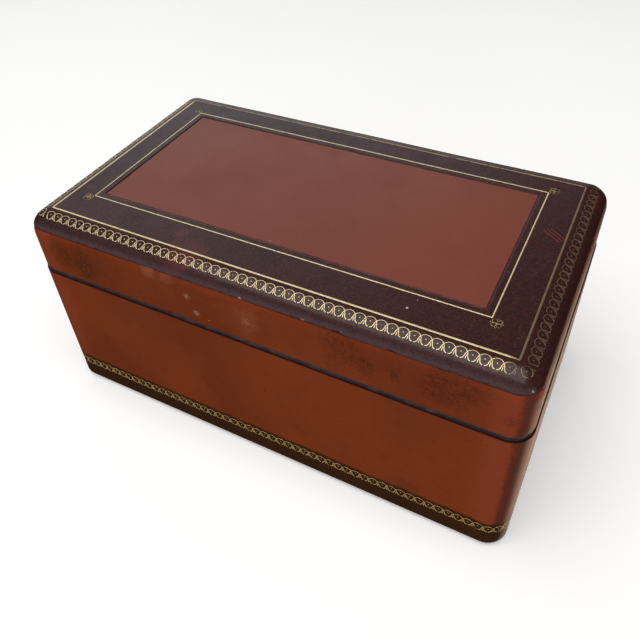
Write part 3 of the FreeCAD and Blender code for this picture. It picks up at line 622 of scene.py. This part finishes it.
def border_ring(station):
    """One section of the border, from the inlay over the shoulder to its cut edge."""
    gap, raised, raised_from, slope = 0.12 * MM, 0.24 * MM, 8 * MM, 4 * MM
    near = PANEL.at(station, -gap)[0]
    far = LID.at(station, SHOULDER)[0]
    ring = [level(near, TOP - LEATHER), level(near, TOP - 0.35 * MM)]
    for share in [0.006, 0.02] + steps(0.05, 1, 16)[:-1]:
        point = level(near.lerp(far, share), TOP)
        dip = 0.25 * MM * max(1 - share / 0.02, 0) ** 2
        ring.append(level(point, TOP + ripple(point) - dip))
    edge = border_edge(station)
    for run in steps(0, edge - 0.3 * MM, 20):
        lift = raised * min(max(run - raised_from, 0) / slope, 1)
        ring.append(lid_spot(station, run, lift)[0])
    ring.append(lid_spot(station, edge - 0.08 * MM, raised * 0.8)[0])
    ring.append(lid_spot(station, edge, raised * 0.3)[0])
    ring.append(lid_spot(station, edge - 0.1 * MM, -0.4 * MM)[0])
    for run in steps(edge - 0.4 * MM, 0, 6):
        ring.append(lid_spot(station, run, -LEATHER)[0])
    return ring


def make_border():
    rings = [border_ring(station) for station in LID.stations(1.25 * MM, 18)]
    border = band("border_leather", rings, BORDER, sharp=50)
    belongs(border, "lid", "border_leather", "lid_border_leather")


def lid_side_ring(station):
    """One section of the lid's side leather: under the border, down the wall, round its foot."""
    tuck, turn = 1.6 * MM, 0.7 * MM
    wall = TOP - LID_LOW.z - SHOULDER + QUARTER
    runs = steps(BORDER_RUN + 0.4 * MM, QUARTER, 8) + steps(QUARTER, wall - turn, 9)[1:]
    ring = [lid_spot(station, BORDER_RUN - tuck, -0.35 * MM)[0]]
    ring.append(lid_spot(station, BORDER_RUN - 0.5 * MM, -0.1 * MM)[0])
    ring += [lid_spot(station, run)[0] for run in runs]
    for share in steps(0.25, 1, 4):
        bend = share * math.pi / 2
        run, proud = wall - turn * (1 - math.sin(bend)), -turn * (1 - math.cos(bend))
        ring.append(lid_spot(station, run, proud)[0])
    ring.append(lid_spot(station, wall, -LEATHER)[0])
    ring += [lid_spot(station, run, -LEATHER)[0] for run in steps(wall - turn, BORDER_RUN, 6)]
    return ring


def make_lid_side():
    rings = [lid_side_ring(station) for station in LID.stations(2 * MM, 16)]
    piece = band("lid_side_leather_skin", rings, COGNAC)
    belongs(piece, "lid", "side_leather", "lid_side_leather")


def base_ring(station):
    """One section of the base's leather: down the wall, round the foot, in under the case."""
    floor = BASE_LOW.z
    felt_edge = BASE.half.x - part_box("base_foot_felt")[1].x
    ring = [base_spot(station, height)[0] for height in steps(BASE_HIGH.z, floor + FOOT, 24)]
    for share in steps(1 / 8, 1, 8):
        bend = share * math.pi / 2
        point = BASE.at(station, FOOT * (1 - math.cos(bend)))[0]
        ring.append(level(point, floor + FOOT * (1 - math.sin(bend))))
    for inset in steps(FOOT, felt_edge, 4)[1:]:
        ring.append(level(BASE.at(station, inset)[0], floor))
    for inset in (felt_edge, FOOT):
        ring.append(level(BASE.at(station, inset)[0], floor + LEATHER))
    for height in steps(floor + FOOT, BASE_HIGH.z, 5):
        ring.append(base_spot(station, height, -LEATHER)[0])
    return ring


def make_base_side():
    rings = [base_ring(station) for station in BASE.stations(2 * MM, 16)]
    piece = band("base_side_leather_skin", rings, COGNAC)
    belongs(piece, "case_base", "side_leather", "base_side_leather")


def rim_ring(station, low, high):
    """One section of the rim leather: flat along the mouth and rolled over its outside."""
    width, inset, roll, skirt = 6.4 * MM, 0.7 * MM, 1.2 * MM, 1.2 * MM
    ring = []
    for share in steps(0, 1, 7):
        bend = share * math.pi / 2
        point = BASE.at(station, inset + roll * (1 - math.cos(bend)))[0]
        point.z = high - roll * (1 - math.sin(bend))
        ring.append(point + UP * ripple(point) * 0.4)
    for share in steps(0.2, 1, 5):
        point = BASE.at(station, inset + roll + (width - roll - 0.4 * MM) * share)[0]
        ring.append(level(point, high))
    for depth, height in ((width, high - 0.4 * MM), (width, high - LEATHER),
                          (skirt, high - LEATHER), (skirt, low + 0.3 * MM),
                          (0.5 * MM, low), (0, low)):
        ring.append(level(BASE.at(station, inset + depth)[0], height))
    return ring


def make_base_rim():
    """The dark rolled rim at the base's mouth, set back a little behind the base's wall."""
    low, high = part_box("base_rim_leather")
    rings = [rim_ring(station, low.z, high.z) for station in BASE.stations(2.5 * MM, 16)]
    piece = band("base_rim_roll", rings, RIM)
    belongs(piece, "case_base", "rim_leather", "base_rim_leather")


def make_panel():
    """The inlaid centre panel, with a slightly uneven, turned-down edge."""
    shape = rounded_box(PANEL_LOW, PANEL_HIGH, 0.3 * MM, 3 * MM)
    for vertex in shape.verts:
        point = vertex.co
        side = Vector((vertex.normal.x, vertex.normal.y, 0))
        point += side * noise.noise(point * 140) * 0.3 * MM
        point.z += ripple(level(point, TOP))
    piece = piece_of("centre_panel_leather", shape, INLAY, sharp=50)
    belongs(piece, "lid", "panel_leather", "lid_centre_panel")


# ------------------------ gilt tooling

class Relief:
    """Gilt strokes and dots on the leather, gathered into one mesh."""

    SUNK = 0.09 * MM
    PROUD = 0.05 * MM
    CREST = 0.62

    def __init__(self):
        self.points = []
        self.faces = []

    def stroke(self, spots, width, closed=False, swelling=None):
        """A low ridge along a row of (point, normal) pairs, wider or narrower as swelling says."""
        first, count = len(self.points), len(spots)
        for i, (point, normal) in enumerate(spots):
            behind = spots[(i - 1) % count if closed else max(i - 1, 0)][0]
            ahead = spots[(i + 1) % count if closed else min(i + 1, count - 1)][0]
            across = (ahead - behind).cross(normal).normalized() * width / 2
            across *= swelling[i] if swelling else 1
            crest, foot = normal * self.PROUD, normal * self.SUNK
            self.points += [point + across - foot, point + across * self.CREST + crest,
                            point - across * self.CREST + crest, point - across - foot]
        for i in range(count if closed else count - 1):
            here, there = first + 4 * i, first + 4 * ((i + 1) % count)
            for a in range(4):
                b = (a + 1) % 4
                self.faces.append((here + a, there + a, there + b, here + b))
        if not closed:
            last = first + 4 * (count - 1)
            self.faces.append((first, first + 1, first + 2, first + 3))
            self.faces.append((last + 3, last + 2, last + 1, last))

    def dot(self, spot, radius, sides=8):
        """A low round stud."""
        point, normal = spot
        across = normal.orthogonal().normalized()
        back = normal.cross(across)
        first = len(self.points)
        for lift, share in ((-self.SUNK, 1), (self.PROUD, self.CREST)):
            for i in range(sides):
                angle = 2 * math.pi * i / sides
                reach = (across * math.cos(angle) + back * math.sin(angle)) * radius * share
                self.points.append(point + reach + normal * lift)
        for i in range(sides):
            j = (i + 1) % sides
            self.faces.append((first + i, first + j, first + sides + j, first + sides + i))
        self.faces.append(tuple(first + i for i in reversed(range(sides))))
        self.faces.append(tuple(first + sides + i for i in range(sides)))

    def build(self, name, material, body):
        belongs(piece_from(name, self.points, self.faces, material, sharp=60), body)


def arc(radius, centre, start, end, count):
    """Points (across, down) on an arc, with angles in degrees measured downwards."""
    found = []
    for angle in steps(math.radians(start), math.radians(end), count):
        found.append((radius * math.cos(angle), centre + radius * math.sin(angle)))
    return found


# The arcades: distance down the lid or height on the base, wanted pitch, and width of a line.
LID_ARCADE = (2.5 * MM, 4.62 * MM, 0.4 * MM)
BASE_ARCADE = (17.6 * MM, 4.67 * MM, 0.42 * MM)

# An arch, in pitches: its rise, one leg from the arch's spring to its foot, and the drop beside
# it. The swellings are their widths at each point, as shares of the line.
SPRING = 0.28
LEG = ((0.495, 0.29), (0.44, 0.38), (0.385, 0.53), (0.34, 0.72), (0.275, 0.86),
       (0.18, 0.93), (0.07, 0.955))
LEG_SWELLING = (0.8, 0.9, 1.0, 1.1, 1.3, 1.4, 1.2)
DROP = (0.52, 0.64, 0.78, 0.91)
DROP_SWELLING = (0.5, 0.8, 1.3, 1.1)


def arcade_cell(relief, spot, pitch, line, crown=0.85):
    """One arch of the rolled arcade; spot turns (across, down) into a place on the leather.

    A flat arch stands on two legs with turned-in feet, and a dot lies under it. A drop hangs
    between its right leg and the left leg of the next arch.
    """
    radius = (0.25 + SPRING ** 2) / (2 * SPRING)
    spread = math.degrees(math.asin(0.5 / radius))
    arch = arc(radius, radius, 270 - spread, 270 + spread, 11)
    relief.stroke([spot(across * pitch, down * pitch) for across, down in arch], line * crown)
    for side in (-1, 1):
        leg = [spot(side * across * pitch, down * pitch) for across, down in LEG]
        relief.stroke(leg, line, swelling=LEG_SWELLING)
    drop = [spot(0.5 * pitch, down * pitch) for down in DROP]
    relief.stroke(drop, line, swelling=DROP_SWELLING)
    relief.dot(spot(0, 0.42 * pitch), 0.075 * pitch)


def make_lid_arcade():
    """The arcade below the outer fillet: along each side, and squeezed round each corner."""
    relief = Relief()
    start, wanted, line = LID_ARCADE
    for side in range(4):
        stretch = 2 * LID.reach(side, SHOULDER)[1]
        count = round(stretch / wanted)
        pitch = stretch / count
        for i in range(count):
            middle = (i + 0.5) * pitch - stretch / 2
            arcade_cell(relief, lambda a, d: lid_mark(side, middle + a, start + d), pitch, line)

        def corner_spot(across, down):
            turn = math.pi / 2 * (0.5 + across / pitch)
            return lid_spot((side, 1, turn), start + down)

        arcade_cell(relief, corner_spot, pitch, line)
    relief.build("lid_gilt_arcade", GOLD, "lid")


def make_base_arcade():
    """The arcade low on the base, carried on round the corners."""
    relief = Relief()
    start, wanted, line = BASE_ARCADE
    bend = BASE.corner * math.pi / 2
    runs = [2 * BASE.reach(side, 0)[1] for side in range(4)]
    perimeter = sum(runs) + 4 * bend
    count = round(perimeter / wanted)
    pitch = perimeter / count

    def spot(walked, height):
        walked %= perimeter
        side = 0
        while side < 3 and walked > runs[side] + bend:
            walked -= runs[side] + bend
            side += 1
        if walked <= runs[side]:
            return base_spot((side, 2 * walked / runs[side] - 1, 0), height)
        return base_spot((side, 1, (walked - runs[side]) / BASE.corner), height)

    for i in range(count):
        middle = (i + 0.5) * pitch
        arcade_cell(relief, lambda a, d: spot(middle + a, start - d), pitch, line, crown=0.6)
    relief.build("base_gilt_arcade", FOOT_GOLD, "case_base")


def make_outer_fillet():
    """Four tooled lines where the shoulder starts, each crossing the next by a hair."""
    relief = Relief()
    draw = random.Random(5)
    for side in range(4):
        reach = LID.reach(side, SHOULDER)[1] + 0.2 * MM
        tilt = draw.uniform(-0.15, 0.15) * MM
        spots = [lid_mark(side, along, tilt * along / reach) for along in steps(-reach, reach, 90)]
        relief.stroke(spots, 1.05 * MM)
    relief.build("lid_outer_fillet", GOLD, "lid")


def make_inner_fillet():
    """A thinner tooled rectangle round the centre panel."""
    relief = Relief()
    draw = random.Random(8)
    margin = 3.65 * MM
    reach = PANEL.half + Vector((margin, margin, 0))
    for out, along in SIDES:
        depth, run = abs(reach.dot(out)), abs(reach.dot(along))
        tilt = draw.uniform(-0.12, 0.12) * MM
        spots = []
        for share in steps(-1, 1, 70):
            place = PANEL.centre + out * (depth + tilt * share) + along * (run * share)
            spots.append(top_spot(place.x, place.y))
        relief.stroke(spots, 0.72 * MM)
    relief.build("lid_inner_fillet", GOLD, "lid")


def bearing(angle):
    """The level direction at an angle from +X."""
    return Vector((math.cos(angle), math.sin(angle), 0))


def make_corner_flowers():
    """A small four-petalled flower outside each corner of the inner fillet."""
    relief = Relief()
    away = 6.0 * MM
    petal_away, petal_radius, tip_away = 1.5 * MM, 1.0 * MM, 2.5 * MM
    turn = [2 * math.pi * i / 12 for i in range(12)]
    for x_way in (-1, 1):
        for y_way in (-1, 1):
            centre = PANEL.centre + Vector((x_way * (PANEL.half.x + away),
                                            y_way * (PANEL.half.y + away), 0))
            for petal in range(4):
                angle = math.pi / 4 + petal * math.pi / 2
                middle = centre + bearing(angle) * petal_away
                ring = [top_spot(middle.x + petal_radius * math.cos(a),
                                 middle.y + petal_radius * math.sin(a)) for a in turn]
                relief.stroke(ring, 0.42 * MM, closed=True)
                tip = centre + bearing(angle + math.pi / 4) * tip_away
                relief.dot(top_spot(tip.x, tip.y), 0.34 * MM)
            relief.dot(top_spot(centre.x, centre.y), 0.4 * MM)
    relief.build("lid_corner_flowers", DIM_GOLD, "lid")


# ------------------------ linings, tray and pads

def make_cards():
    """Velvet-covered cards and boards, each standing for one plain node."""
    plan = []
    for side in ("front", "back", "left", "right"):
        plan.append((f"base_{side}_lining", "case_base", 0.5))
        plan.append((f"lid_{side}_lining", "lid", 0.5))
        plan.append((f"tray_{side}_wall", "tray", 0.9))
    plan.append(("tray_floor", "tray", 0.6))
    for part in ("ring", "long", "cross"):
        plan.append((f"tray_{part}_divider", "tray", 0.9))
    for side in ("left", "right"):
        plan.append((f"tray_ledge_{side}", "case_base", 0.8))
    for node, body, rounding in plan:
        low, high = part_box(node)
        shape = rounded_box(low, high, rounding * MM, 7 * MM, uneven=0.12 * MM)
        piece = piece_of(node + "_velvet", shape, VELVET)
        belongs(piece, body, "velvet", node)


def softened(node, name, material, rounding):
    """A copy of a node's shape with its flat faces merged and its edges rounded."""
    shape = bmesh.new()
    shape.from_mesh(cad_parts[node].data)
    bmesh.ops.remove_doubles(shape, verts=shape.verts, dist=1e-6)
    bmesh.ops.dissolve_limit(shape, angle_limit=math.radians(2), verts=shape.verts,
                             edges=shape.edges)
    sharp = [e for e in shape.edges if len(e.link_faces) == 2 and e.calc_face_angle(0) > 0.5]
    bmesh.ops.bevel(shape, geom=sharp, offset=rounding, segments=3, affect="EDGES",
                    clamp_overlap=True)
    bmesh.ops.triangulate(shape, faces=[f for f in shape.faces if len(f.verts) > 4])
    return piece_of(name, shape, material)


def make_softened():
    """Pieces with notches or curves, which keep their own outline."""
    for node in ("base_long_divider", "base_left_cross_divider", "base_right_cross_divider"):
        belongs(softened(node, node + "_velvet", VELVET, 0.9 * MM), "case_base", "velvet", node)
    for side in ("left", "right"):
        node = f"tray_{side}_pull"
        belongs(softened(node, node + "_tab", TAB, 0.3 * MM), "tray", "pull_leather", node)
    node = "base_foot_felt"
    belongs(softened(node, "base_foot_baize", BAIZE, 0.4 * MM), "case_base", "felt", node)
    node = "lid_rim_leather"
    belongs(softened(node, "lid_rim_strip", RIM, 0.3 * MM), "lid", "rim_leather", node)


def pad_between(name, low, high, crown):
    """A thin stuffed pad between two corners, high in its middle and puckered at its edge."""
    shape = rounded_box(low, high, min(0.7 * MM, (high.z - low.z) * 0.4), 5 * MM)
    centre, half = (low + high) / 2, (high - low) / 2
    for vertex in shape.verts:
        point = vertex.co
        if point.z < centre.z:
            continue
        margin = min(half.x - abs(point.x - centre.x), half.y - abs(point.y - centre.y))
        dip = math.exp(-max(margin, 0) / (4 * MM))
        pucker = noise.noise(level(point, 0) * 130) * dip * 0.3
        point.z = min(point.z - crown * (dip - pucker * 0.5) + ripple(point) * 1.2, high.z)
    return piece_of(name, shape, VELVET)


def make_pads():
    """The pads under the jewellery in the base and in the tray."""
    low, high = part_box("tray_front_pads")
    divider_low, divider_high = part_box("tray_cross_divider")
    clearance = 0.2 * MM
    left_end = Vector((divider_low.x - clearance, high.y, high.z))
    right_start = Vector((divider_high.x + clearance, low.y, low.z))
    plan = (
        ("floor_pad", "case_base", "base_floor_pad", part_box("base_floor_pad"), 0.9),
        ("tray_back_pad_velvet", "tray", "tray_back_pad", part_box("tray_back_pad"), 0.7),
        ("tray_front_left_pad", "tray", "tray_front_pads", (low, left_end), 0.7),
        ("tray_front_right_pad", "tray", "tray_front_pads", (right_start, high), 0.7),
    )
    for name, body, node, box, crown in plan:
        piece = pad_between(name, *box, crown * MM)
        belongs(piece, body, "velvet", node)


def swell(piece, box, voxel, pressure, cap, held):
    """Blows a stuffed cover up with a cloth simulation, then fits it to its box.

    Held points stay put, and no point moves further than the cap.
    """
    bpy.context.view_layer.objects.active = piece
    remesh = piece.modifiers.new("remesh", "REMESH")
    remesh.mode = "VOXEL"
    remesh.voxel_size = voxel
    bpy.ops.object.modifier_apply(modifier=remesh.name)
    rest = [vertex.co.copy() for vertex in piece.data.vertices]
    group = piece.vertex_groups.new(name="held")
    group.add([i for i, point in enumerate(rest) if held(point)], 1.0, "REPLACE")
    cloth = piece.modifiers.new("cloth", "CLOTH")
    cloth.settings.quality = 5
    cloth.settings.mass = 0.2
    cloth.settings.vertex_group_mass = group.name
    cloth.settings.use_pressure = True
    cloth.settings.uniform_pressure_force = pressure
    cloth.settings.effector_weights.gravity = 0
    for step in range(1, 21):
        bpy.context.scene.frame_set(step)
    bpy.ops.object.modifier_apply(modifier=cloth.name)
    bpy.context.scene.frame_set(1)
    piece.vertex_groups.clear()
    low, high = box
    for vertex, start in zip(piece.data.vertices, rest):
        shift = vertex.co - start
        if shift.length > cap:
            shift *= cap / shift.length
        point = start + shift
        vertex.co = Vector(min(max(point[i], low[i]), high[i]) for i in range(3))
    smooth = piece.modifiers.new("smooth", "SUBSURF")
    smooth.levels = smooth.render_levels = 1
    bpy.ops.object.modifier_apply(modifier=smooth.name)
    points = [vertex.co for vertex in piece.data.vertices]
    for axis in (0, 1):
        least = min(point[axis] for point in points)
        most = max(point[axis] for point in points)
        stretch = (high[axis] - low[axis]) / (most - least)
        for point in points:
            point[axis] = low[axis] + (point[axis] - least) * stretch
    piece.data.shade_smooth()


def make_lid_cushion():
    """The padded lining of the lid's underside, crowned towards the jewels."""
    low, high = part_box("lid_cushion")
    start = low + Vector((0.1 * MM, 0.1 * MM, 3.6 * MM))
    end = high - Vector((0.1 * MM, 0.1 * MM, 0))
    shape = rounded_box(start, end, 2 * MM, 8 * MM)
    centre, half = (start + end) / 2, (end - start) / 2
    for vertex in shape.verts:
        point = vertex.co
        if point.z < centre.z:
            share_x = abs(point.x - centre.x) / half.x
            share_y = abs(point.y - centre.y) / half.y
            point.z -= 2.4 * MM * (1 - share_x ** 4) * (1 - share_y ** 4)
    piece = piece_of("lid_cushion_velvet", shape, CUSHION)
    swell(piece, (low, high), 4 * MM, 3.5, 5 * MM, lambda p: p.z > end.z - 2 * MM)
    belongs(piece, "lid", "cushion_velvet", "lid_cushion")


def make_ring_rolls():
    """Five stuffed rolls side by side, which hold rings in the clefts between them."""
    low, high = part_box("tray_ring_rolls")
    count = 5
    width = (high.x - low.x) / count
    radius = width / 2 - 0.5 * MM
    rolls = bmesh.new()
    for i in range(count):
        middle = low.x + width * (i + 0.5)
        before = set(rolls.verts)
        bmesh.ops.create_cone(rolls, cap_ends=True, segments=32, radius1=radius, radius2=radius,
                              depth=high.y - low.y - 1 * MM)
        for vertex in [v for v in rolls.verts if v not in before]:
            across, lift, along = vertex.co
            height = max(lift, -radius * 0.75)
            vertex.co = Vector((middle + across, (low.y + high.y) / 2 + along,
                                low.z + radius * 0.75 + 0.2 * MM + height * 0.92))
    piece = piece_of("ring_rolls_velvet", rolls, VELVET)
    swell(piece, (low, high), 2.4 * MM, 3.0, 1.2 * MM, lambda p: p.z < low.z + 1 * MM)
    belongs(piece, "tray", "velvet", "tray_ring_rolls")


# ------------------------ carried-over nodes

def finish_nodes():
    """Gives the nodes that stay in view their wood and brass."""
    for name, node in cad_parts.items():
        if name.endswith("_board"):
            material = CEDAR
        elif name.startswith(("hinge_", "stay_")) or name.endswith("_screws"):
            material = BRASS
        else:
            continue
        node.data.materials.clear()
        node.data.materials.append(material)


# ------------------------ studio

def soft_light(name, place, aim, size, watts, colour):
    """An area light turned towards a point."""
    data = bpy.data.lights.new(name, "AREA")
    data.shape = "RECTANGLE"
    data.size, data.size_y = size
    data.energy = watts
    data.color = colour
    light = bpy.data.objects.new(name, data)
    light.location = place
    light.rotation_euler = (Vector(aim) - Vector(place)).to_track_quat("-Z", "Y").to_euler()
    bpy.context.scene.collection.objects.link(light)


def make_floor():
    """A plain pale floor, which glows a little so that it stays pale."""
    paper = Shader("pale_floor", Roughness=0.9, Specular_IOR_Level=0.1)
    shade = paper.rise(paper.noise(0.6, detail=2), 0.3, 0.7)
    paper.colour = paper.tint(shade, ink(244, 244, 243), ink(248, 248, 247))
    material = paper.finish(Emission_Color=paper.colour, Emission_Strength=0.26)
    half = 4.0
    corners = [(-half, -half, 0), (half, -half, 0), (half, half, 0), (-half, half, 0)]
    floor = piece_from("floor", corners, [(0, 1, 2, 3)], material)
    floor.visible_glossy = False


def make_world():
    """A dim room, darker below, with a pale wall behind on the left and a pale table behind."""
    world = bpy.data.worlds.new("room")
    world.use_nodes = True
    room = Nodes(world.node_tree, "Generated")
    below, above = (0.02, 0.018, 0.016, 1), (0.11, 0.115, 0.125, 1)
    wall_shine, table_shine = (1.0, 1.02, 1.08, 1), (1.25, 1.06, 0.82, 1)
    aside = Vector((-0.55, 0.75, 0.2)).normalized()
    towards = room.node("VectorMath", {0: room.place, 1: aside}, operation="DOT_PRODUCT")
    facing = room.rise(towards.outputs["Value"], 0.74, 1.0)
    wall = room.times(facing, room.rise(room.z, -0.05, 0.1))
    table = room.times(room.rise(room.y, 0.0, 0.45), room.rise(room.z, -0.35, -0.75))
    colour = room.tint(room.rise(room.z, -0.1, 0.4), below, above)
    colour = room.tint(wall, colour, wall_shine)
    colour = room.tint(table, colour, table_shine)
    room.feed(room.tree.nodes["Background"].inputs["Color"], colour)
    bpy.context.scene.world = world


def make_studio():
    make_floor()
    make_world()
    soft_light("overhead", place=(0, -0.5, 1.95), aim=(0, 0, 0),
               size=(2.4, 1.7), watts=37, colour=(1.0, 0.985, 0.96))
    soft_light("front_window", place=(-0.5, -1.8, 0.8), aim=(0, 0, 0.05),
               size=(3.0, 2.2), watts=5.6, colour=(0.95, 0.97, 1.0))
    soft_light("right_window", place=(1.3, -0.5, 0.22), aim=(0.1, -0.05, 0.1),
               size=(0.08, 0.22), watts=1.7, colour=(1, 1, 1))
    bpy.context.scene.view_settings.view_transform = "Standard"


# The photo's camera, solved from the case's outline and tooling: place in metres, turn in
# degrees, lens and sensor in millimetres. The lens was then lengthened by a hair.
CAMERA_PLACE = (0.1315, -0.2381, 0.3058)
CAMERA_TURN = (48.95, 2.471, 27.568)
CAMERA_SHIFT = (0.0075, -0.0813)
LENS, SENSOR = 37.86, 36


def make_camera():
    """The photo's camera, above the case and in front of its right corner."""
    data = bpy.data.cameras.new("camera")
    data.lens = LENS
    data.sensor_width = SENSOR
    data.shift_x, data.shift_y = CAMERA_SHIFT
    data.clip_start, data.clip_end = 0.01, 20
    camera = bpy.data.objects.new("camera", data)
    camera.location = CAMERA_PLACE
    camera.rotation_euler = Euler([math.radians(angle) for angle in CAMERA_TURN])
    bpy.context.scene.collection.objects.link(camera)
    bpy.context.scene.camera = camera


make_camera()
make_studio()
make_border()
make_lid_side()
make_base_side()
make_base_rim()
make_panel()
make_outer_fillet()
make_inner_fillet()
make_lid_arcade()
make_base_arcade()
make_corner_flowers()
make_cards()
make_softened()
make_pads()
make_lid_cushion()
make_ring_rolls()
finish_nodes()
